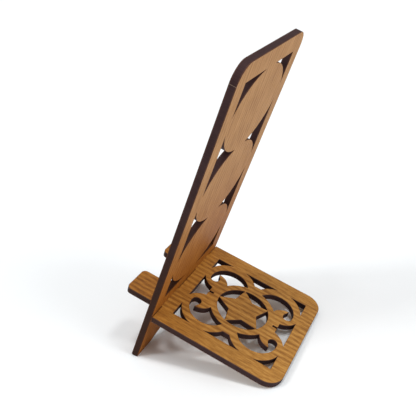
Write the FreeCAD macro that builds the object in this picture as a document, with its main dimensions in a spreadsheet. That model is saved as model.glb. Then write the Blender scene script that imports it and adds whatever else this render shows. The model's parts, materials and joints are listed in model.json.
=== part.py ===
"""Two-piece interlocking tablet stand, laser-cut from veneered board.

The back panel leans to the rear on two short feet.  The base panel slopes down behind it, and its
two tabs pass through slots in the back panel to make the ledge that carries the tablet.  Each panel
is a board of three bonded layers: a core with a thin oak veneer on each face.

Frame: +X across the width, +Y to the rear, +Z up, in millimetres.  The origin is at the middle of
the bounding box's underside, on the surface that the stand rests on.
"""

import FreeCAD
import Part

import math
import os
import re

import Sketcher

# Driving dimensions.  Lengths in millimetres, angles in degrees.
DIMENSIONS = {
    # the board
    "panel_width": 100.0,
    "core_thickness": 3.5,
    "veneer_thickness": 0.6,
    # how the stand sits: the joint is where the base's top face meets the back panel's rear face
    "lean_angle": 65.0,
    "base_slope": 22.1,
    "joint_height": 39.29,
    # back panel, measured up and down the panel from the joint
    "back_rise": 185.0,
    "foot_length": 43.9,
    "foot_width": 18.0,
    "arch_rise": 8.0,
    "back_corner_radius": 11.5,
    "window_width": 75.0,
    "back_window_top": 172.5,
    "back_window_bottom": 9.8,
    "oval_count": 3.0,
    "oval_half_width": 38.3,
    "oval_half_height": 27.7,
    # slots and tabs
    "tab_centre": 25.5,
    "tab_width": 23.5,
    "tab_reach": 28.6,
    "tab_corner_radius": 3.5,
    "tab_root": 2.0,
    "slot_side_clearance": 0.15,
    "slot_top": 0.04,
    "slot_bottom": 5.1,
    # base panel, measured from the centre of its window
    "window_length": 75.6,
    "window_centre": 47.25,
    "base_depth": 95.0,
    "base_corner_radius": 12.0,
    "shoulder_gap": 0.4,
    # openwork of the base: a ring with a star, and a scroll in each quarter
    "ring_inner_radius": 19.2,
    "ring_outer_radius": 24.2,
    "star_points": 5.0,
    "star_point_radius": 19.9,
    "star_notch_radius": 10.95,
    "scroll_across": 18.9,
    "scroll_along": 19.1,
    "scroll_radius": 19.4,
    "eye_across": 16.8,
    "eye_along": 19.2,
    "eye_radius": 14.7,
    "hook_across": 15.4,
    "hook_radius": 3.4,
    "leaf_tip_across": 21.2,
    "leaf_tip_along": 29.4,
    "leaf_radius": 10.5,
    "cup_across": 18.9,
    "cup_along": 24.7,
    "cup_radius": 14.2,
    "cup_floor": 28.0,
    "slit_half_width": 0.8,
    "slit_end": 24.3,
    "apex_across": 29.1,
}

# Layers of each board: node, where the layer starts above the board's lower local face, thickness.
BACK_LAYERS = [
    ("back_panel_rear_veneer", "0", "veneer_thickness"),
    ("back_panel_core", "veneer_thickness", "core_thickness"),
    ("back_panel_front_veneer", "veneer_thickness + core_thickness", "veneer_thickness"),
]
BASE_LAYERS = [
    ("base_panel_underside_veneer", "0", "veneer_thickness"),
    ("base_panel_core", "veneer_thickness", "core_thickness"),
    ("base_panel_top_veneer", "veneer_thickness + core_thickness", "veneer_thickness"),
]

BOARD = "(core_thickness + 2 * veneer_thickness)"
ORIGIN_POINT = (-1, 1)
CUT_CLEARANCE = 1.0

doc = FreeCAD.newDocument("tablet_stand")
sheet = doc.addObject("Spreadsheet::Sheet", "Sizes")
for row, (alias, number) in enumerate(DIMENSIONS.items(), start=1):
    sheet.set(f"A{row}", alias)
    sheet.set(f"B{row}", str(number))
    sheet.setAlias(f"B{row}", alias)
doc.recompute()


def bound(formula):
    """A formula in dimension names, as an expression that reads them from the sheet."""
    return re.sub(r"[a-z_]+", lambda m: f"Sizes.{m[0]}" if m[0] in DIMENSIONS else m[0], formula)


def value(formula):
    """The present value of a formula in dimension names."""
    return float(sheet.evalExpression(bound(formula)))


def origin_feature(body, role):
    return next(f for f in body.Origin.OriginFeatures if f.Role == role)


class Outline:
    """A closed outline in a sketch, whose places and radii are bound to the sheet."""

    def __init__(self, body, name, plane="XY_Plane", start="0"):
        self.sketch = body.newObject("Sketcher::SketchObject", name)
        self.sketch.AttachmentSupport = [(origin_feature(body, plane), "")]
        self.sketch.MapMode = "FlatFace"
        self.sketch.setExpression("AttachmentOffset.Base.z", bound(start))
        self.edges = []
        self.bindings = []

    def line(self, start, end):
        segment = Part.LineSegment(FreeCAD.Vector(*start, 0), FreeCAD.Vector(*end, 0))
        self.edges.append((self.sketch.addGeometry(segment, False), 1, 2))
        return self.edges[-1]

    def arc(self, centre, start, end, clockwise=False):
        """An arc from start to end; a sketch keeps arcs anticlockwise, so a clockwise one is turned."""
        radius = math.dist(centre, start)
        circle = Part.Circle(FreeCAD.Vector(*centre, 0), FreeCAD.Vector(0, 0, 1), radius)
        first, last = (end, start) if clockwise else (start, end)
        angles = [math.atan2(p[1] - centre[1], p[0] - centre[0]) for p in (first, last)]
        if angles[1] < angles[0]:
            angles[1] += 2 * math.pi
        index = self.sketch.addGeometry(Part.ArcOfCircle(circle, *angles), False)
        self.edges.append((index, 2, 1) if clockwise else (index, 1, 2))
        return self.edges[-1]

    def close(self, smooth=()):
        """Join each edge to the next, tangentially after the edges listed in smooth."""
        for number, edge in enumerate(self.edges):
            following = self.edges[(number + 1) % len(self.edges)]
            kind = "Tangent" if number in smooth else "Coincident"
            self.add(kind, edge[0], edge[2], following[0], following[1])

    def add(self, kind, *where):
        return self.sketch.addConstraint(Sketcher.Constraint(kind, *where))

    def bind(self, kind, where, formula):
        """A dimension that follows the sheet."""
        number = self.add(kind, *where, value(formula))
        self.bindings.append((number, formula))

    def place(self, point, across=None, along=None):
        """Bind where a point lies from the sketch's origin."""
        for kind, formula in (("DistanceX", across), ("DistanceY", along)):
            if formula is not None:
                self.bind(kind, (*ORIGIN_POINT, *point), formula)

    def finish(self):
        """Name the dimensions and bind them, once all constraints are in."""
        for order, (number, formula) in enumerate(self.bindings):
            name = f"size_{order}"
            self.sketch.renameConstraint(number, name)
            self.sketch.setExpression(f"Constraints.{name}", bound(formula))
        return self.sketch


def at(across, along):
    return value(across), value(along)


def polygon(body, name, corners, plane="XY_Plane", start="0"):
    """A closed outline of straight edges through corners that are pairs of formulas."""
    outline = Outline(body, name, plane, start)
    points = [at(*corner) for corner in corners]
    for point, following in zip(points, points[1:] + points[:1]):
        outline.line(point, following)
    outline.close()
    for edge, corner in zip(outline.edges, corners):
        outline.place(edge[:2], *corner)
    return outline.finish()


def meeting(centre, radius, other_centre, other_radius, left):
    """Where two circles meet, to the left or right of the line between their centres."""
    dx, dy = other_centre[0] - centre[0], other_centre[1] - centre[1]
    apart = math.hypot(dx, dy)
    along = (apart**2 + radius**2 - other_radius**2) / (2 * apart)
    aside = math.sqrt(radius**2 - along**2) * (1 if left else -1)
    return (
        centre[0] + (along * dx - aside * dy) / apart,
        centre[1] + (along * dy + aside * dx) / apart,
    )


def pad(body, sketch, thickness):
    feature = body.newObject("PartDesign::Pad", f"{sketch.Name}_pad")
    feature.Profile = sketch
    feature.setExpression("Length", bound(thickness))
    return feature


def pocket(body, sketch):
    """Cut the sketch's outline right through, both ways."""
    feature = body.newObject("PartDesign::Pocket", f"{sketch.Name}_cut")
    feature.Profile = sketch
    feature.Type = "ThroughAll"
    feature.SideType = "Symmetric"
    return feature


def mirrored(body, feature, *planes):
    """Repeat a feature across one or two of the body's middle planes."""
    mirrors = []
    for plane in planes:
        mirror = body.newObject("PartDesign::Mirrored", f"{feature.Name}_mirror")
        mirror.MirrorPlane = (origin_feature(body, plane), [""])
        mirrors.append(mirror)
    if len(mirrors) == 1:
        mirrors[0].Originals = [feature]
        whole = mirrors[0]
    else:
        whole = body.newObject("PartDesign::MultiTransform", f"{feature.Name}_quarters")
        whole.Originals = [feature]
        whole.Transformations = mirrors
    body.Tip = whole


# Back panel.  Local frame: X across, Y up the panel from the joint, Z from the rear face forwards.


def back_outline(body, start):
    """Rounded top corners, straight sides, and two feet with a shallow arch between them."""
    half = "panel_width / 2"
    inner = "panel_width / 2 - back_corner_radius"
    shoulder = "back_rise - back_corner_radius"
    arch_half = "panel_width / 2 - foot_width"
    arch_radius = f"(({arch_half})^2 + arch_rise^2) / (2 * arch_rise)"
    arch_centre = (0.0, value(f"-foot_length + arch_rise - {arch_radius}"))
    outline = Outline(body, "back_outline", start=start)
    outline.line(at(f"-{half}", "-foot_length"), at(f"-({arch_half})", "-foot_length"))
    outline.arc(
        arch_centre, at(f"-({arch_half})", "-foot_length"), at(arch_half, "-foot_length"), True
    )
    outline.line(at(arch_half, "-foot_length"), at(half, "-foot_length"))
    outline.line(at(half, "-foot_length"), at(half, shoulder))
    outline.arc(at(inner, shoulder), at(half, shoulder), at(inner, "back_rise"))
    outline.line(at(inner, "back_rise"), at(f"-({inner})", "back_rise"))
    outline.arc(at(f"-({inner})", shoulder), at(f"-({inner})", "back_rise"), at(f"-{half}", shoulder))
    outline.line(at(f"-{half}", shoulder), at(f"-{half}", "-foot_length"))
    outline.close()
    foot_left, arch, foot_right, side, corner, top, corner_left, side_left = outline.edges
    outline.place(foot_left[:2], f"-{half}", "-foot_length")
    outline.place(arch[:2], f"-({arch_half})", "-foot_length")
    outline.place(foot_right[:2], arch_half, "-foot_length")
    outline.bind("Radius", arch[:1], arch_radius)
    outline.place(side[:2], half, "-foot_length")
    outline.place(corner[:2], half, shoulder)
    outline.place(top[:2], inner, "back_rise")
    outline.place(corner_left[:2], f"-({inner})", "back_rise")
    outline.place(side_left[:2], f"-{half}", shoulder)
    for rounded in (corner, corner_left):
        outline.bind("Radius", rounded[:1], "back_corner_radius")
    return outline.finish()


def rectangle(body, name, left, right, low, high):
    return polygon(body, name, [(left, low), (right, low), (right, high), (left, high)])


def slot(body):
    """The slot for one tab, a little taller than the board so that the base can slope."""
    inner = "tab_centre - tab_width / 2 - slot_side_clearance"
    outer = "tab_centre + tab_width / 2 + slot_side_clearance"
    return rectangle(body, "slot", inner, outer, "-slot_bottom", "slot_top")


OVAL_PITCH = "(back_window_top - back_window_bottom) / oval_count"


def oval(body, start):
    """The lowest of the stacked ovals, which runs into the frame at both sides."""
    outline = Outline(body, "oval", start=start)
    middle = f"back_window_bottom + {OVAL_PITCH} / 2"
    centre = FreeCAD.Vector(0, value(middle), 0)
    wide = centre + FreeCAD.Vector(value("oval_half_width"), 0, 0)
    high = centre + FreeCAD.Vector(0, value("oval_half_height"), 0)
    ellipse = outline.sketch.addGeometry(Part.Ellipse(wide, high, centre), False)
    outline.sketch.exposeInternalGeometry(ellipse)
    long_axis, short_axis = ellipse + 1, ellipse + 2
    outline.add("Horizontal", long_axis)
    outline.place((ellipse, 3), "0", middle)
    outline.bind("Distance", (long_axis,), "2 * oval_half_width")
    outline.bind("Distance", (short_axis,), "2 * oval_half_height")
    return outline.finish()


FOOT_FLAT_DEPTH = "(foot_length * sin(lean_angle * 1deg) - joint_height) / cos(lean_angle * 1deg)"


def foot_flat(body):
    """The rear lower corner of the feet, eased off level with the table so that they stand flat."""
    rear = ("-joint_height / sin(lean_angle * 1deg)", "0")
    corner = (f"-foot_length - {CUT_CLEARANCE}", f"-{CUT_CLEARANCE}")
    front = ("-foot_length", FOOT_FLAT_DEPTH)
    return polygon(body, "foot_flat", [rear, corner, front], "YZ_Plane")


def build_back_layer(label, start, thickness):
    body = doc.addObject("PartDesign::Body", label)
    body.Label = label
    pad(body, back_outline(body, start), thickness)
    half_window = "window_width / 2"
    pocket(
        body,
        rectangle(
            body, "back_window", f"-{half_window}", half_window, "back_window_bottom", "back_window_top"
        ),
    )
    mirrored(body, pocket(body, slot(body)), "YZ_Plane")
    lowest_oval = pad(body, oval(body, start), thickness)
    row_of_ovals = body.newObject("PartDesign::LinearPattern", "oval_column")
    row_of_ovals.Originals = [lowest_oval]
    row_of_ovals.Direction = (origin_feature(body, "Y_Axis"), [""])
    row_of_ovals.setExpression("Length", bound(f"(oval_count - 1) * {OVAL_PITCH}"))
    row_of_ovals.setExpression("Occurrences", bound("oval_count"))
    body.Tip = row_of_ovals
    if value(start) < value(FOOT_FLAT_DEPTH):
        pocket(body, foot_flat(body))
    return body


# Base panel.  Local frame: X across, Y to the rear from the window's centre, Z up from the underside.


def base_outline(body, start):
    """A straight front edge, the shoulders, and rounded rear corners."""
    half = "panel_width / 2"
    inner = "panel_width / 2 - base_corner_radius"
    front = "shoulder_gap - window_centre"
    rear = "base_depth - window_centre"
    turn = "base_depth - window_centre - base_corner_radius"
    outline = Outline(body, "base_outline", start=start)
    outline.line(at(f"-{half}", front), at(half, front))
    outline.line(at(half, front), at(half, turn))
    outline.arc(at(inner, turn), at(half, turn), at(inner, rear))
    outline.line(at(inner, rear), at(f"-({inner})", rear))
    outline.arc(at(f"-({inner})", turn), at(f"-({inner})", rear), at(f"-{half}", turn))
    outline.line(at(f"-{half}", turn), at(f"-{half}", front))
    outline.close()
    shoulder, side, corner, end, corner_left, side_left = outline.edges
    outline.place(shoulder[:2], f"-{half}", front)
    outline.place(side[:2], half, front)
    outline.place(corner[:2], half, turn)
    outline.place(end[:2], inner, rear)
    outline.place(corner_left[:2], f"-({inner})", rear)
    outline.place(side_left[:2], f"-{half}", turn)
    for rounded in (corner, corner_left):
        outline.bind("Radius", rounded[:1], "base_corner_radius")
    return outline.finish()


def tab(body, start):
    """One tab of the ledge, with rounded front corners, rooted a little way into the panel."""
    inner = "tab_centre - tab_width / 2"
    outer = "tab_centre + tab_width / 2"
    root = "shoulder_gap - window_centre + tab_root"
    tip = "-tab_reach - window_centre"
    turn = "-tab_reach - window_centre + tab_corner_radius"
    inner_turn = "tab_centre - tab_width / 2 + tab_corner_radius"
    outer_turn = "tab_centre + tab_width / 2 - tab_corner_radius"
    outline = Outline(body, "tab", start=start)
    outline.line(at(inner, root), at(inner, turn))
    outline.arc(at(inner_turn, turn), at(inner, turn), at(inner_turn, tip))
    outline.line(at(inner_turn, tip), at(outer_turn, tip))
    outline.arc(at(outer_turn, turn), at(outer_turn, tip), at(outer, turn))
    outline.line(at(outer, turn), at(outer, root))
    outline.line(at(outer, root), at(inner, root))
    outline.close()
    inner_side, inner_corner, end, outer_corner, outer_side, across = outline.edges
    outline.place(inner_side[:2], inner, root)
    outline.place(inner_corner[:2], inner, turn)
    outline.place(end[:2], inner_turn, tip)
    outline.place(outer_corner[:2], outer_turn, tip)
    outline.place(outer_side[:2], outer, turn)
    outline.place(across[:2], outer, root)
    for rounded in (inner_corner, outer_corner):
        outline.bind("Radius", rounded[:1], "tab_corner_radius")
    return outline.finish()


HALF_WINDOW = "window_width / 2"
HALF_LENGTH = "window_length / 2"


def corner_opening(body):
    """The three-cornered opening between a window corner and the outside of a scroll."""
    scroll = at("scroll_across", "scroll_along")
    on_side = at(
        HALF_WINDOW, f"scroll_along + sqrt(scroll_radius^2 - ({HALF_WINDOW} - scroll_across)^2)"
    )
    on_end = at(
        f"scroll_across + sqrt(scroll_radius^2 - ({HALF_LENGTH} - scroll_along)^2)", HALF_LENGTH
    )
    corner = at(HALF_WINDOW, HALF_LENGTH)
    outline = Outline(body, "corner_opening")
    outline.line(on_side, corner)
    outline.line(corner, on_end)
    bow = outline.arc(scroll, on_end, on_side, True)
    outline.close()
    outline.add("Vertical", outline.edges[0][0])
    outline.add("Horizontal", outline.edges[1][0])
    outline.place(outline.edges[1][:2], HALF_WINDOW, HALF_LENGTH)
    outline.place((bow[0], 3), "scroll_across", "scroll_along")
    outline.bind("Radius", bow[:1], "scroll_radius")
    return outline.finish()


def scroll_opening(body):
    """The eye of a scroll: round the inside, round the hook, along the leaf, back along the ring."""
    eye = at("eye_across", "eye_along")
    eye_radius = value("eye_radius")
    hook_radius = value("hook_radius")
    reach = eye_radius - hook_radius
    hook_across = value("hook_across")
    hook = (hook_across, eye[1] + math.sqrt(reach**2 - (hook_across - eye[0]) ** 2))
    top = tuple(e + (k - e) * eye_radius / reach for e, k in zip(eye, hook))
    leaf_tip = at("leaf_tip_across", "leaf_tip_along")
    leaf = at("leaf_tip_across - leaf_radius", "leaf_tip_along")
    ring = (0.0, 0.0)
    ring_radius = value("ring_outer_radius")
    tail = meeting(ring, ring_radius, eye, eye_radius, False)
    cusp = meeting(ring, ring_radius, leaf, value("leaf_radius"), False)
    bearing = math.atan2(leaf_tip[1] - hook[1], leaf_tip[0] - hook[0])
    turn = bearing - math.acos(hook_radius / math.dist(hook, leaf_tip))
    hook_end = (hook[0] + hook_radius * math.cos(turn), hook[1] + hook_radius * math.sin(turn))
    outline = Outline(body, "scroll_opening")
    inside = outline.arc(eye, tail, top)
    curl = outline.arc(hook, top, hook_end)
    outline.line(hook_end, leaf_tip)
    leaf_edge = outline.arc(leaf, leaf_tip, cusp, True)
    ring_edge = outline.arc(ring, cusp, tail, True)
    outline.close(smooth=(0, 1))
    outline.place((inside[0], 3), "eye_across", "eye_along")
    outline.bind("Radius", inside[:1], "eye_radius")
    outline.place((curl[0], 3), "hook_across")
    outline.bind("Radius", curl[:1], "hook_radius")
    outline.place(leaf_edge[:2], "leaf_tip_across", "leaf_tip_along")
    outline.place((leaf_edge[0], 3), None, "leaf_tip_along")
    outline.bind("Radius", leaf_edge[:1], "leaf_radius")
    outline.place((ring_edge[0], 3), "0", "0")
    outline.bind("Radius", ring_edge[:1], "ring_outer_radius")
    return outline.finish()


def cup_opening(body):
    """The cup-shaped opening between two scrolls at an end of the window, with its short slit."""
    mouth = f"cup_across - sqrt(cup_radius^2 - ({HALF_LENGTH} - cup_along)^2)"
    floor = "cup_across - sqrt(cup_radius^2 - (cup_floor - cup_along)^2)"
    outline = Outline(body, "cup_opening")
    left = outline.arc(
        at("-cup_across", "cup_along"),
        at(f"-({mouth})", HALF_LENGTH),
        at(f"-({floor})", "cup_floor"),
        True,
    )
    outline.line(at(f"-({floor})", "cup_floor"), at("-slit_half_width", "cup_floor"))
    slit_left = outline.line(at("-slit_half_width", "cup_floor"), at("-slit_half_width", "slit_end"))
    slit_foot = outline.line(at("-slit_half_width", "slit_end"), at("slit_half_width", "slit_end"))
    slit_right = outline.line(at("slit_half_width", "slit_end"), at("slit_half_width", "cup_floor"))
    floor_right = outline.line(at("slit_half_width", "cup_floor"), at(floor, "cup_floor"))
    right = outline.arc(
        at("cup_across", "cup_along"), at(floor, "cup_floor"), at(mouth, HALF_LENGTH), True
    )
    outline.line(at(mouth, HALF_LENGTH), at(f"-({mouth})", HALF_LENGTH))
    outline.close()
    outline.place((left[0], 3), "-cup_across", "cup_along")
    outline.place((right[0], 3), "cup_across", "cup_along")
    for side in (left, right):
        outline.bind("Radius", side[:1], "cup_radius")
    outline.place(left[:2], None, HALF_LENGTH)
    outline.place((left[0], left[2]), None, "cup_floor")
    outline.place(slit_left[:2], "-slit_half_width", "cup_floor")
    outline.place(slit_foot[:2], "-slit_half_width", "slit_end")
    outline.place(slit_right[:2], "slit_half_width", "slit_end")
    outline.place(floor_right[:2], "slit_half_width", "cup_floor")
    outline.place(right[:2], None, "cup_floor")
    outline.place((right[0], right[2]), None, HALF_LENGTH)
    return outline.finish()


def side_opening(body):
    """The blunt arrowhead opening between two scrolls at a side of the window."""
    on_side = f"scroll_along - sqrt(scroll_radius^2 - ({HALF_WINDOW} - scroll_across)^2)"
    apex = "scroll_along - sqrt(scroll_radius^2 - (apex_across - scroll_across)^2)"
    outline = Outline(body, "side_opening")
    lower = outline.arc(
        at("scroll_across", "-scroll_along"),
        at(HALF_WINDOW, f"-({on_side})"),
        at("apex_across", f"-({apex})"),
    )
    outline.line(at("apex_across", f"-({apex})"), at("apex_across", apex))
    upper = outline.arc(
        at("scroll_across", "scroll_along"), at("apex_across", apex), at(HALF_WINDOW, on_side)
    )
    outline.line(at(HALF_WINDOW, on_side), at(HALF_WINDOW, f"-({on_side})"))
    outline.close()
    outline.place((lower[0], 3), "scroll_across", "-scroll_along")
    outline.place((upper[0], 3), "scroll_across", "scroll_along")
    for bow in (lower, upper):
        outline.bind("Radius", bow[:1], "scroll_radius")
        outline.place(bow[:2], HALF_WINDOW if bow is lower else "apex_across")
        outline.place((bow[0], bow[2]), "apex_across" if bow is lower else HALF_WINDOW)
    return outline.finish()


def ring_bore(body):
    outline = Outline(body, "ring_bore")
    circle = Part.Circle(FreeCAD.Vector(), FreeCAD.Vector(0, 0, 1), value("ring_inner_radius"))
    index = outline.sketch.addGeometry(circle, False)
    outline.place((index, 3), "0", "0")
    outline.bind("Radius", (index,), "ring_inner_radius")
    return outline.finish()


def star(body, start):
    """A star whose points run into the ring, with one point towards the back panel."""
    step = 180 / DIMENSIONS["star_points"]
    corners = []
    for order in range(2 * round(DIMENSIONS["star_points"])):
        radius = "star_notch_radius" if order % 2 else "star_point_radius"
        angle = -90 + order * step
        corners.append((f"{radius} * cos({angle} * 1deg)", f"{radius} * sin({angle} * 1deg)"))
    return polygon(body, "star", corners, start=start)


SLOPE_SINE = "sin(base_slope * 1deg)"
SLOPE_COSINE = "cos(base_slope * 1deg)"
REST_FLAT_HEIGHT = f"{BOARD} - (joint_height - base_depth * {SLOPE_SINE}) / {SLOPE_COSINE}"


def rest_flat(body):
    """The base's rear lower corner, eased off level with the table so that it rests flat."""
    under = (f"(joint_height - {BOARD} * {SLOPE_COSINE}) / {SLOPE_SINE} - window_centre", "0")
    corner = (f"base_depth - window_centre + {CUT_CLEARANCE}", f"-{CUT_CLEARANCE}")
    rear = ("base_depth - window_centre", REST_FLAT_HEIGHT)
    return polygon(body, "rest_flat", [under, corner, rear], "YZ_Plane")


def build_base_layer(label, start, thickness):
    body = doc.addObject("PartDesign::Body", label)
    body.Label = label
    pad(body, base_outline(body, start), thickness)
    mirrored(body, pad(body, tab(body, start), thickness), "YZ_Plane")
    for opening in (corner_opening, scroll_opening):
        mirrored(body, pocket(body, opening(body)), "YZ_Plane", "XZ_Plane")
    mirrored(body, pocket(body, cup_opening(body)), "XZ_Plane")
    mirrored(body, pocket(body, side_opening(body)), "YZ_Plane")
    pocket(body, ring_bore(body))
    pad(body, star(body, start), thickness)
    if value(start) < value(REST_FLAT_HEIGHT):
        pocket(body, rest_flat(body))
    return body


# Assembly: both boards are placed from the joint line.


def placements():
    lean = value("lean_angle")
    slope = value("base_slope")
    board = value(BOARD)
    depth = value("base_depth")
    across = FreeCAD.Vector(1, 0, 0)
    back_turn = FreeCAD.Rotation(across, lean)
    base_turn = FreeCAD.Rotation(across, -slope)
    rear_most = base_turn.multVec(FreeCAD.Vector(0, depth, 0)).y
    front_most = base_turn.multVec(FreeCAD.Vector(0, -value("tab_reach"), -board)).y
    joint = FreeCAD.Vector(0, -(rear_most + front_most) / 2, value("joint_height"))
    window = joint + base_turn.multVec(FreeCAD.Vector(0, value("window_centre"), -board))
    return FreeCAD.Placement(joint, back_turn), FreeCAD.Placement(window, base_turn)


back_placement, base_placement = placements()
layers = []
for build, table, placement in (
    (build_back_layer, BACK_LAYERS, back_placement),
    (build_base_layer, BASE_LAYERS, base_placement),
):
    for layer in table:
        made = build(*layer)
        made.Placement = placement
        layers.append(made)
doc.recompute()

for item in doc.Objects:
    if "Invalid" in item.State or "Error" in item.State:
        raise RuntimeError(f"{item.Name} failed: {item.State}")
    if item.TypeId == "Sketcher::SketchObject" and not item.FullyConstrained:
        raise RuntimeError(f"{item.Name} isn't fully constrained")
    if item.TypeId == "PartDesign::Pocket":
        if item.Shape.Volume >= item.BaseFeature.Shape.Volume:
            raise RuntimeError(f"{item.Name} cuts nothing")

os.makedirs("parts", exist_ok=True)
for layer in layers:
    shape = layer.Shape
    if shape.isNull() or not shape.isValid() or len(shape.Solids) != 1:
        raise RuntimeError(f"{layer.Label} isn't one valid solid")
    shape.exportStep(f"parts/{layer.Label}.step")
    box = shape.optimalBoundingBox()
    print(
        f"{layer.Label}: {shape.Volume:.0f} mm3, x {box.XMin:.2f} to {box.XMax:.2f},"
        f" y {box.YMin:.2f} to {box.YMax:.2f}, z {box.ZMin:.2f} to {box.ZMax:.2f}"
    )
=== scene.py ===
# %% [markdown]
# # A tablet stand that slots together from two boards
#
# The real stand is cut by a laser from thin fibreboard that has an oak veneer on both faces. The
# tall back board leans on two short feet, and the base board pushes two tabs through slots in it,
# which make the ledge for the tablet.
#
# The engineering model of the six layers is already exact, so nothing here moves or resizes it.
# This lesson gives it the things that an engineering model leaves out: grain, pores and oil on the
# veneer, the eased and scorched line that the laser leaves along every cut, the charred walls of
# the openings, and the light and camera of a small product studio.

import json
import math

import bmesh
import bpy
from mathutils import Matrix, Vector


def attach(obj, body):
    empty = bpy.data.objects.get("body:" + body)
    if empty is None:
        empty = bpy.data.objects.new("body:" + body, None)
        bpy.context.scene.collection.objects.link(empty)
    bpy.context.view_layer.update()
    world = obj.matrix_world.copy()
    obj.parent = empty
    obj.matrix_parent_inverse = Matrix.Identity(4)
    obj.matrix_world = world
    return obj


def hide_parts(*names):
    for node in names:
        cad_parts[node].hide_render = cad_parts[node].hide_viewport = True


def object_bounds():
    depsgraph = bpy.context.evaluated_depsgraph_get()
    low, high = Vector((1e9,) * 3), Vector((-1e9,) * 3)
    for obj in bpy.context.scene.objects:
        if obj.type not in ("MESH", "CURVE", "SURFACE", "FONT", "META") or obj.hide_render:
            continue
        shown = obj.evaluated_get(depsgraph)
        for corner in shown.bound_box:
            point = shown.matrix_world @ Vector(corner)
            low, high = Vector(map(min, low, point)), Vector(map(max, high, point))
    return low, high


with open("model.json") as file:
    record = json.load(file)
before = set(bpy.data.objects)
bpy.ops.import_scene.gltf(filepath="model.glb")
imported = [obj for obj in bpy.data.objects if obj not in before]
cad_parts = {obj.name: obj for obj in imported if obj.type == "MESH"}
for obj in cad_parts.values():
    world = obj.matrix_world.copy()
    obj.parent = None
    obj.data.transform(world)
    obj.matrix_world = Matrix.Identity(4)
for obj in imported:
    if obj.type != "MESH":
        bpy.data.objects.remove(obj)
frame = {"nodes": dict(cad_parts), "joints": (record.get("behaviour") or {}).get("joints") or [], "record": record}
cad_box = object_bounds()
print("layers:", ", ".join(sorted(frame["nodes"])))
print("box in mm:", [round(1000 * (high - low), 1) for low, high in zip(*cad_box)])

# %% [markdown]
# ## Two boards, two directions
#
# Wood grain follows the board that it is cut from, not the table, so each board needs its own
# three directions: across, along the grain, and out of its upper or front face. They could be typed
# in as angles, but the record already holds them: the back board slides off along the base, and
# its front face is a mount with an axis. Reading both keeps looks and design together.

# %% The directions of each board
MM = 0.001
ACROSS = Vector((1, 0, 0))

mounts = {mount["name"]: mount for mount in frame["record"]["mounts"]}
base_along = -Vector(frame["joints"][0]["axis"]).normalized()
base_out = ACROSS.cross(base_along)
back_out = Vector(mounts["tablet_back"]["axis"]).normalized()
back_along = back_out.cross(ACROSS)


def steepness(along):
    """How far a board is turned up about the X axis, in radians."""
    return math.atan2(along.z, along.y)


def laid_flat(along, out, side):
    """The turn that lays a board down with the face on that side upwards."""
    return Matrix((side * ACROSS, along, side * out)).to_4x4()


BOARDS = {
    "back_panel": (back_along, back_out),
    "base_panel": (base_along, base_out),
}
for board, (along, out) in BOARDS.items():
    print(board, "rises", round(math.degrees(steepness(along)), 1), "degrees")

# %% [markdown]
# ## Easing a sheet of veneer
#
# A laser leaves a line along each cut where the veneer is charred and a touch rounded, and a
# paler brown scorch next to it. On a computer model the edge is razor sharp, which is the first
# thing that looks false in a close view. A Bevel modifier would need clean quads, and the openwork
# has tips only a few degrees wide where a bevel folds over itself. So the rim is made directly: the
# sheet's face is taken off, its outline is followed round every opening, and two rows of new points
# are laid inside it. The first is as far in as the eased arris, the second as far as the scorch.
# The points also carry a number, `scorch`, that is 1 on the cut and 0 where clean wood begins.

# %% Walk round the outlines of a face
WELD = 0.001 * MM
EASE = 0.09 * MM
SCORCH = 0.35 * MM
FAN_STEP = math.radians(20)


def face_outlines(face):
    """The closed outlines of some triangles, each a list of points with the wood on its left."""
    wood = set(face)
    following = {}
    for triangle in face:
        for corner in triangle.loops:
            if any(other not in wood for other in corner.edge.link_faces):
                following[corner.vert] = corner.link_loop_next.vert
    outlines = []
    while following:
        start = next(iter(following))
        outline = [start]
        point = following.pop(start)
        while point is not start:
            outline.append(point)
            point = following.pop(point)
        outlines.append(outline)
    return outlines


# %% [markdown]
# At each point of an outline the inset goes to the left of the cut. Where the wood's corner is
# an outward one the two sides meet in a mitre. Where it is an inward one, as at the tip of an
# opening, a mitre would run off in a long spike, so the inset turns round the tip in a small fan.


# %% Work out where each inset point goes
def left_of(direction):
    return Vector((-direction.y, direction.x))


def inset_directions(outline):
    """Pairs of outline point and inset direction; a tip appears once for each spoke of its fan."""
    pairs = []
    for order, point in enumerate(outline):
        here = point.co.xy
        arriving = (here - outline[order - 1].co.xy).normalized()
        leaving = (outline[(order + 1) % len(outline)].co.xy - here).normalized()
        turn = math.atan2(arriving.cross(leaving), arriving.dot(leaving))
        if turn > -FAN_STEP:
            both = left_of(arriving) + left_of(leaving)
            pairs.append((point, both * 2 / both.length_squared))
            continue
        spokes = math.ceil(-turn / FAN_STEP)
        for spoke in range(spokes + 1):
            swing = Matrix.Rotation(turn * spoke / spokes, 2)
            pairs.append((point, swing @ left_of(arriving)))
    return pairs


# %% [markdown]
# With the directions known, the rows of points are joined to each other by small faces, and
# the clean middle is filled with triangles. Every layer keeps its own piece, so the stand still
# comes apart into the six layers it is glued from.


# %% Rebuild a veneer sheet with an eased, scorched rim
def strip(mesh, lower, upper):
    """Faces between two closed rows of points; where one row stands still, a triangle."""
    for order in range(len(lower)):
        after = (order + 1) % len(lower)
        ring = [lower[order], lower[after], upper[after], upper[order]]
        mesh.faces.new(list(dict.fromkeys(ring)))


def inset_row(mesh, pairs, depth, level):
    """New points on the sheet's face, a given depth in from the outline."""
    row = []
    for point, direction in pairs:
        place = point.co.xy + depth * direction
        row.append(mesh.verts.new((*place, level)))
    return row


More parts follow.
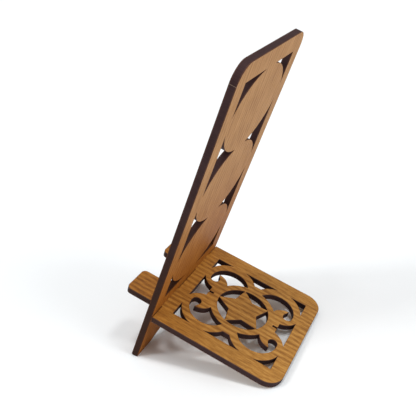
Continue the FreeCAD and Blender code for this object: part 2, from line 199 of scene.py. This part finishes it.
def eased_sheet(name, node, board, side):
    """A veneer sheet with the shape of its layer and an eased rim round every cut."""
    along, out = BOARDS[board]
    turn = laid_flat(along, out, side)
    mesh = bmesh.new()
    mesh.from_mesh(node.data)
    mesh.transform(turn)
    bmesh.ops.remove_doubles(mesh, verts=mesh.verts, dist=WELD)
    scorch = mesh.verts.layers.float.new("scorch")
    level = max(point.co.z for point in mesh.verts)
    face = [f for f in mesh.faces if all(level - point.co.z < WELD for point in f.verts)]
    outlines = face_outlines(face)
    bmesh.ops.delete(mesh, geom=face, context="FACES")
    clean_edge = []
    for outline in outlines:
        pairs = inset_directions(outline)
        arris = inset_row(mesh, pairs, EASE, level)
        clean = inset_row(mesh, pairs, SCORCH, level)
        for point in outline:
            point.co.z = level - EASE
        strip(mesh, [point for point, direction in pairs], arris)
        strip(mesh, arris, clean)
        clean_edge += zip(clean, clean[1:] + clean[:1])
    for point in mesh.verts:
        point[scorch] = 1.0
    for point, following in clean_edge:
        point[scorch] = 0.0
    rows = [mesh.edges.get(pair) for pair in clean_edge]
    filled = bmesh.ops.triangle_fill(mesh, edges=rows, use_beauty=True, normal=(0, 0, 1))
    for made in filled["geom"]:
        if isinstance(made, bmesh.types.BMFace) and made.normal.z < 0:
            made.normal_flip()
    mesh.transform(turn.inverted())
    sheet = bpy.data.meshes.new(name)
    mesh.to_mesh(sheet)
    mesh.free()
    sheet.shade_smooth()
    sheet.set_sharp_from_angle(angle=math.radians(30))
    piece = bpy.data.objects.new(name, sheet)
    bpy.context.scene.collection.objects.link(piece)
    print(f"{name}: {len(outlines)} outlines, {len(sheet.polygons)} faces")
    return piece


SHEETS = {
    "back_panel_rear_veneer": ("back_panel", -1),
    "back_panel_front_veneer": ("back_panel", 1),
    "base_panel_top_veneer": ("base_panel", 1),
    "base_panel_underside_veneer": ("base_panel", -1),
}
sheets = {}
for node_name, (board, side) in SHEETS.items():
    piece = eased_sheet(node_name + "_eased", frame["nodes"][node_name], board, side)
    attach(piece, board)
    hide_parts(node_name)
    sheets[node_name] = piece

# %% [markdown]
# ## A small language for finishes
#
# A finish is a chain of nodes, and a chain that is clicked together is hard to read in text. So
# one small class wraps the output of a node and lets Python's own signs add the Math nodes:
# `1 - mask` becomes a Subtract node. Everything that isn't plain arithmetic goes through
# one method, which takes the node's type, its settings, and what its sockets get. A Mix node has
# sockets of the same name for numbers, vectors and colours, so its colours are given by place.


# %% Wrap node outputs so that they take part in sums
FIRST_COLOUR, SECOND_COLOUR, MIXED_COLOUR = 6, 7, 2


class Amount:
    """A number that changes over a surface; each sum with it adds one Math node."""

    def __init__(self, finish, socket):
        self.finish = finish
        self.socket = socket

    def __add__(self, other):
        return self.finish.sum("ADD", self, other)

    def __sub__(self, other):
        return self.finish.sum("SUBTRACT", self, other)

    def __rsub__(self, other):
        return self.finish.sum("SUBTRACT", other, self)

    def __mul__(self, other):
        return self.finish.sum("MULTIPLY", self, other)

    def __truediv__(self, other):
        return self.finish.sum("DIVIDE", self, other)

    def __abs__(self):
        return self.finish.sum("ABSOLUTE", self)

    def wave(self):
        return self.finish.sum("SINE", self)

    def part_of_one(self):
        return self.finish.sum("FRACT", self)

    __radd__ = __add__
    __rmul__ = __mul__


class Finish:
    """A material whose nodes are added by sums and by the add method."""

    def __init__(self, name):
        self.material = bpy.data.materials.new(name)
        self.material.use_nodes = True
        self.tree = self.material.node_tree
        self.tree.nodes.clear()

    def node(self, kind, settings, inputs):
        """Add a node of any type: settings first, then what each socket gets."""
        node = self.tree.nodes.new(kind)
        for name, setting in settings.items():
            if name == "stops":
                self.set_stops(node.color_ramp, setting)
            else:
                setattr(node, name, setting)
        for name, given in inputs.items():
            socket = node.inputs[name]
            if isinstance(given, Amount):
                self.tree.links.new(given.socket, socket)
            else:
                socket.default_value = given
        return node

    def add(self, kind, settings, inputs, output=0):
        """Add a node and give one of its outputs."""
        return Amount(self, self.node(kind, settings, inputs).outputs[output])

    def set_stops(self, ramp, stops):
        while len(ramp.elements) < len(stops):
            ramp.elements.new(1.0)
        for element, (place, colour) in zip(ramp.elements, stops):
            element.position = place
            element.color = (*colour, 1.0)

    def sum(self, operation, *values):
        return self.add("ShaderNodeMath", {"operation": operation}, dict(enumerate(values)))

    def step(self, value, start, end):
        """A soft step from 0 at start to 1 at end."""
        names = {"Value": value, "From Min": start, "From Max": end}
        return self.add("ShaderNodeMapRange", {"interpolation_type": "SMOOTHSTEP"}, names)

    def noise(self, place, scale, detail=2.0, rough=0.5):
        names = {"Vector": place, "Scale": scale, "Detail": detail, "Roughness": rough}
        return self.add("ShaderNodeTexNoise", {}, names)

    def blend(self, mask, first, second, mode="MIX"):
        """The first colour where the mask is 0, the second where it is 1."""
        names = {"Factor": mask, FIRST_COLOUR: first, SECOND_COLOUR: second}
        settings = {"data_type": "RGBA", "blend_type": mode}
        return self.add("ShaderNodeMix", settings, names, output=MIXED_COLOUR)

    def stretched(self, place, across, along, through, shift=(0, 0, 0)):
        """Coordinates squeezed by different amounts along a board's three directions."""
        names = {"Vector": place, "Scale": (across, along, through), "Location": shift}
        return self.add("ShaderNodeMapping", {}, names)

    def relief(self, height, strength, distance):
        names = {"Height": height, "Strength": strength, "Distance": distance}
        return self.add("ShaderNodeBump", {}, names)

    def surface(self, colour, roughness, normal=None, **constants):
        """The shader itself: linked colour, roughness and normal, everything else fixed."""
        names = {"Base Color": colour, "Roughness": roughness, **constants}
        if normal:
            names["Normal"] = normal
        shader = self.add("ShaderNodeBsdfPrincipled", {}, names)
        self.node("ShaderNodeOutputMaterial", {}, {"Surface": shader})
        return self.material


# %% [markdown]
# Patterns are measured in millimetres on the board itself. One Mapping node turns the
# object's own coordinates until X runs across the board, Y along its grain and Z through it.


# %% Coordinates that lie in a board
def board_place(finish, board):
    """Object coordinates in millimetres, turned to lie in a board."""
    along, out = BOARDS[board]
    place = finish.add("ShaderNodeTexCoord", {}, {}, output="Object")
    names = {"Vector": place, "Rotation": (-steepness(along), 0, 0), "Scale": (1 / MM,) * 3}
    return finish.add("ShaderNodeMapping", {}, names)


def directions(finish, place):
    """The three numbers of a place: across, along and through."""
    separated = finish.node("ShaderNodeSeparateXYZ", {}, {"Vector": place})
    return [Amount(finish, output) for output in separated.outputs]


# %% [markdown]
# ## The charred walls
#
# Fibreboard has no grain to show. Its cut walls are burnt to a dark purple brown, with
# fine upright streaks where the beam pulsed. The streaks run through the board whichever way
# the wall faces, so they are noise that changes quickly in the plane of the board and hardly at
# all through it. The same streaks are used on the veneer's own thin walls, so that the three
# layers read as one burnt edge with a slightly warmer line at each face.
#
# The beam also has to start somewhere. On the back board it set off from the side, just below the
# round of the right top corner, and left a pale hairline through the whole edge. Its place is
# read off the core: it is the highest point that still lies on the straight side.

# %% Streaks and the starting mark
CHAR = (0.026, 0.011, 0.011)
CHAR_WORN = (0.046, 0.022, 0.022)
PALE_MARK = (0.24, 0.17, 0.12)
MARK_HALF_WIDTH = 0.12
MARK_DEPTH = (0.3, 0.1)

back_core = frame["nodes"]["back_panel_core"]
flat_back = [laid_flat(*BOARDS["back_panel"], 1) @ point.co for point in back_core.data.vertices]
side_edge = max(point.x for point in flat_back)
mark_along = max(point.y for point in flat_back if side_edge - point.x < WELD)
print("the cut began", round(mark_along / MM, 1), "mm up the right side")


def starting_mark(finish, place):
    """1 on the hairline where the cut of the back board's outline began, and 0 elsewhere."""
    across, along, through = directions(finish, place)
    on_line = finish.step(abs(along - mark_along / MM), MARK_HALF_WIDTH, 0.6 * MARK_HALF_WIDTH)
    start, end = [side_edge / MM - depth for depth in MARK_DEPTH]
    return on_line * finish.step(across, start, end)


def charred(finish, place, board, plain, worn):
    """The colour of a burnt wall, and its streaks."""
    streaks = finish.noise(finish.stretched(place, 3.4, 3.4, 0.12), 1.0, detail=3.0, rough=0.65)
    patches = finish.noise(finish.stretched(place, 0.12, 0.12, 0.12), 1.0, detail=2.0)
    wear = finish.step(streaks + 0.5 * patches, 0.45, 1.05)
    colour = finish.blend(wear, (*plain, 1), (*worn, 1))
    if board == "back_panel":
        colour = finish.blend(starting_mark(finish, place), colour, (*PALE_MARK, 1))
    return colour, streaks


# %% [markdown]
# Both boards are painted redder and darker towards the joint, as painted shade and warm bounce
# light where the boards shade each other, and the burnt walls follow them. For each board, the
# painted shade starts at one distance along it and is full at the other, in millimetres.


# %% Paint shade near the joint and give the cores their finish
# Painted shade and warm bounce light: redder and darker towards the joint, where the boards shade each other.
PAINTED_JOINT_SHADE = {
    "back_panel": dict(clear=150, full=20, shade_tint=(0.79, 0.53, 0.20)),
    "base_panel": dict(clear=30, full=-60, shade_tint=(0.98, 0.84, 0.56)),
}
RELIEF_DEPTH = 0.12 * MM
CORE_GLOSS = 1.22


def painted_joint_shade(finish, place, colour, clear, full, shade_tint):
    """A colour that takes on painted shade and warm bounce light towards the joint along a board."""
    across, along, through = directions(finish, place)
    amount = finish.step(along, clear, full)
    return finish.blend(amount, colour, (*shade_tint, 1), mode="MULTIPLY")


def board_core(name, board):
    finish = Finish(name)
    place = board_place(finish, board)
    colour, streaks = charred(finish, place, board, CHAR, CHAR_WORN)
    # Painted shade and warm bounce light on the charred core near the joint.
    colour = painted_joint_shade(finish, place, colour, **PAINTED_JOINT_SHADE[board])
    normal = finish.relief(streaks, 0.5, RELIEF_DEPTH)
    return finish.surface(colour, 0.52 + 0.25 * streaks, normal, IOR=CORE_GLOSS)


for board in BOARDS:
    core = frame["nodes"][f"{board}_core"]
    core.data.materials.clear()
    core.data.materials.append(board_core(f"{board}_charred_core", board))
    print(board, "core:", core.data.materials[0].name)

# %% [markdown]
# ## Oak veneer
#
# Oak shows its years as stripes along the board, darker where the wood grew open and paler where
# it grew dense. An image of wood would repeat, and stretch on the narrow scrolls, so the
# stripes are worked out from the place on the board: the distance across, bent by slow
# noise, is divided by the width of a year, and a sine wave makes each year one dark and one pale
# stripe. The stripes are strong in some places and weak in others, and calm down near the
# base's long sides.
#
# Over that lie flecks, fine fibres, slow clouds of tone and short dark pores. All of them are
# noise squeezed hard along the grain, and the table gives how often each changes in a millimetre
# across the grain and along it.


# %% Noise that runs with the grain, and the year stripes
GRAIN = {
    "drift": dict(across=0.045, along=0.011),
    "bend": dict(across=0.22, along=0.10, detail=3.0),
    "strength": dict(across=0.16, along=0.012, detail=1.0),
    "clouds": dict(across=0.07, along=0.035),
    "flecks": dict(across=1.1, along=0.28, rough=0.6),
    "fibres": dict(across=3.2, along=0.10, detail=3.0, rough=0.6),
    "pores": dict(across=5.5, along=0.42, detail=1.0),
}
DRIFT_WIDTH = 7
BEND_WIDTH = 1.8


def grain(finish, place, shift, across, along, detail=2.0, rough=0.5):
    squeezed = finish.stretched(place, across, along, across, shift)
    return finish.noise(squeezed, 1.0, detail=detail, rough=rough)


def year_stripes(finish, place, noises, year, quiet):
    """A wave from -1 in pale wood to 1 in dark wood, calmer towards a board's long sides."""
    across, along, through = directions(finish, place)
    bent = across + DRIFT_WIDTH * noises["drift"] + BEND_WIDTH * noises["bend"]
    wave = (bent / year * math.tau).wave()
    calm = finish.step(abs(across), *quiet)
    return wave * finish.step(noises["strength"], 0.10, 0.60) * (1 - 0.8 * calm)


# %% [markdown]
# The rim follows the number `scorch` that the sheets carry. On the wall, where it is 1, the veneer
# is charred like the core. Inside the arris it is browned, with a ragged limit to clean wood.


# %% Scorch the rim of the veneer
CHAR_VENEER = (0.060, 0.026, 0.019)
CHAR_VENEER_WORN = (0.095, 0.045, 0.030)
SCORCHED = (0.55, 0.36, 0.26)


def scorched(finish, place, board, colour):
    """Veneer with a brown rim and charred walls, and how far each point is charred."""
    scorch = finish.add("ShaderNodeAttribute", {"attribute_name": "scorch"}, {}, output="Fac")
    ragged = finish.noise(finish.stretched(place, 1.1, 1.1, 1.1), 1.0, detail=2.0)
    browned = finish.step(scorch + 0.5 * ragged, 0.45, 1.15)
    colour = finish.blend(0.75 * browned, colour, (*SCORCHED, 1), mode="MULTIPLY")
    burnt = finish.step(scorch, 0.90, 0.985)
    wall, streaks = charred(finish, place, board, CHAR_VENEER, CHAR_VENEER_WORN)
    return finish.blend(burnt, colour, wall), burnt


# %% [markdown]
# The two boards come from two sheets, so each gets its own tones, place in the pattern and gloss.
# The width of a year is in millimetres, and so are the two distances from a board's middle
# between which its stripes turn quiet. The base is striped and oiled. The back board is calm and
# almost matt, with flecks that run on as long streaks.


# %% The oak finish
TONE_STOPS = (0.22, 0.48, 0.76)
PORE_SHADE = 0.42
BACK_OAK = dict(
    shift=(3, 8, 1),
    year=4.2,
    quiet=(30, 60),
    contrast=0.10,
    fleck_length=5,
    gloss=1.18,
    tones=[(0.25, 0.108, 0.032), (0.40, 0.196, 0.068), (0.50, 0.270, 0.108)],
)
BASE_OAK = dict(
    shift=(41, 17, 5),
    year=4.6,
    quiet=(34, 41),
    contrast=0.19,
    fleck_length=1.7,
    gloss=1.33,
    tones=[(0.20, 0.079, 0.012), (0.33, 0.149, 0.026), (0.44, 0.222, 0.050)],
)


def oak(board, shift, year, quiet, contrast, fleck_length, gloss, tones):
    """Oiled oak veneer whose grain runs along a board, scorched where `scorch` says so."""
    finish = Finish(f"{board}_oak")
    place = board_place(finish, board)
    flecks = dict(GRAIN["flecks"], along=GRAIN["flecks"]["along"] / fleck_length)
    table = dict(GRAIN, flecks=flecks)
    noises = {name: grain(finish, place, shift, **facts) for name, facts in table.items()}
    stripes = year_stripes(finish, place, noises, year, quiet)
    fibres = noises["fibres"]
    tone = 0.35 * noises["clouds"] + 0.25 * fibres + 0.95 * noises["flecks"]
    tone = tone - contrast * stripes - 0.28
    stops = list(zip(TONE_STOPS, tones))
    colour = finish.add("ShaderNodeValToRGB", {"stops": stops}, {"Fac": tone})
    pores = finish.step(noises["pores"] + 0.03 * stripes, 0.66, 0.74)
    pore_colour = [PORE_SHADE * part for part in tones[0]]
    colour = finish.blend(0.55 * pores, colour, (*pore_colour, 1))
    colour, burnt = scorched(finish, place, board, colour)
    # Painted shade and warm bounce light, darker and redder towards the joint.
    colour = painted_joint_shade(finish, place, colour, **PAINTED_JOINT_SHADE[board])
    roughness = 0.47 + 0.16 * fibres + 0.15 * pores + 0.12 * burnt
    height = 0.5 * fibres - 0.9 * pores - 0.12 * stripes
    normal = finish.relief(height, 0.35, RELIEF_DEPTH)
    return finish.surface(colour, roughness, normal, IOR=gloss)


veneers = {
    "back_panel": oak("back_panel", **BACK_OAK),
    "base_panel": oak("base_panel", **BASE_OAK),
}
for node_name, (board, side) in SHEETS.items():
    sheets[node_name].data.materials.append(veneers[board])
print("finishes:", [material.name for material in veneers.values()])

# %% [markdown]
# ## The studio
#
# The stand is shown as a small product usually is: on a seamless white table in a white room.
# The room alone would fill every shadow evenly. Two small lights from above, one of them
# from high behind so that it gets under the leaning board, draw the base's shadow on the
# table with a clear edge. Two wider ones, from behind and from the front right, give the boards
# a lit and a shaded side, and their shadows stay faint. All are suns, not area lights, so
# that the table is equally white as far as any camera sees. The table is a touch cooler than the
# light, because the wood throws a warm glow into the shadows.

# %% Table, room and lights
TABLE_RADIUS = 8.0
TABLE_WHITE = (0.835, 0.86, 0.875)
MOTTLE_PER_METRE = 30.0
MOTTLE_SHADE = 0.985
ROOM_LIGHT = 0.50
LIGHTS = {
    "top_light": dict(bearing=180, height=85, strength=0.75, spread=9),
    "high_rear_light": dict(bearing=180, height=62, strength=0.65, spread=9),
    "rear_light": dict(bearing=174, height=36, strength=0.9, spread=20),
    "front_light": dict(bearing=40, height=38, strength=1.1, spread=18),
}


def table_top():
    mesh = bmesh.new()
    bmesh.ops.create_circle(mesh, cap_ends=True, radius=TABLE_RADIUS, segments=96)
    disc = bpy.data.meshes.new("table_top")
    mesh.to_mesh(disc)
    mesh.free()
    finish = Finish("white_table")
    place = finish.add("ShaderNodeTexCoord", {}, {}, output="Object")
    mottle = finish.noise(place, MOTTLE_PER_METRE)
    near_white = [MOTTLE_SHADE * part for part in TABLE_WHITE]
    colour = finish.blend(mottle, (*TABLE_WHITE, 1), (*near_white, 1))
    disc.materials.append(finish.surface(colour, 0.55 + 0.1 * mottle))
    table = bpy.data.objects.new("table_top", disc)
    bpy.context.scene.collection.objects.link(table)
    return table


def direction_to(bearing, height):
    """The way to a bearing (0 is the front, 90 the right side) and a height, in degrees."""
    turn, climb = math.radians(bearing), math.radians(height)
    flat = math.cos(climb)
    return Vector((math.sin(turn) * flat, -math.cos(turn) * flat, math.sin(climb)))


def soft_light(name, bearing, height, strength, spread):
    light = bpy.data.lights.new(name, "SUN")
    light.energy = strength
    light.angle = math.radians(spread)
    lamp = bpy.data.objects.new(name, light)
    lamp.rotation_mode = "QUATERNION"
    lamp.rotation_quaternion = direction_to(bearing, height).to_track_quat("Z", "Y")
    bpy.context.scene.collection.objects.link(lamp)


table_top()
for light_name, facts in LIGHTS.items():
    soft_light(light_name, **facts)

room = bpy.data.worlds.new("white_room")
room.use_nodes = True
room.node_tree.nodes["Background"].inputs["Color"].default_value = (1, 1, 1, 1)
room.node_tree.nodes["Background"].inputs["Strength"].default_value = ROOM_LIGHT
bpy.context.scene.world = room
bpy.context.scene.view_settings.view_transform = "Standard"

# %% [markdown]
# ## The camera
#
# The camera stands behind the stand and a little to its right, close enough for the back
# board to loom towards it. A camera is easiest to place as a photographer would say it: what it
# aims at, from which compass direction, how high, how far, and how much the head is rolled.

# %% Place the camera
AIM_OFFSET = Vector((6.5, 5.0, -15.3)) * MM
BEARING = 117.40
HEIGHT = 27.72
ROLL = math.radians(-5.08)
DISTANCE = 393.0 * MM
SENSOR = 36.0
LENS = 51.18
SHIFT = (-0.03, 0.05)

middle = (cad_box[0] + cad_box[1]) / 2
towards_camera = direction_to(BEARING, HEIGHT)
lens = bpy.data.cameras.new("camera")
lens.sensor_width = SENSOR
lens.lens = LENS
lens.shift_x, lens.shift_y = SHIFT
camera = bpy.data.objects.new("camera", lens)
camera.location = middle + AIM_OFFSET + DISTANCE * towards_camera
camera.rotation_mode = "QUATERNION"
level_turn = towards_camera.to_track_quat("Z", "Y")
camera.rotation_quaternion = level_turn @ Matrix.Rotation(ROLL, 3, "Z").to_quaternion()
bpy.context.scene.collection.objects.link(camera)
bpy.context.scene.camera = camera
print("camera at", [round(part, 3) for part in camera.location])
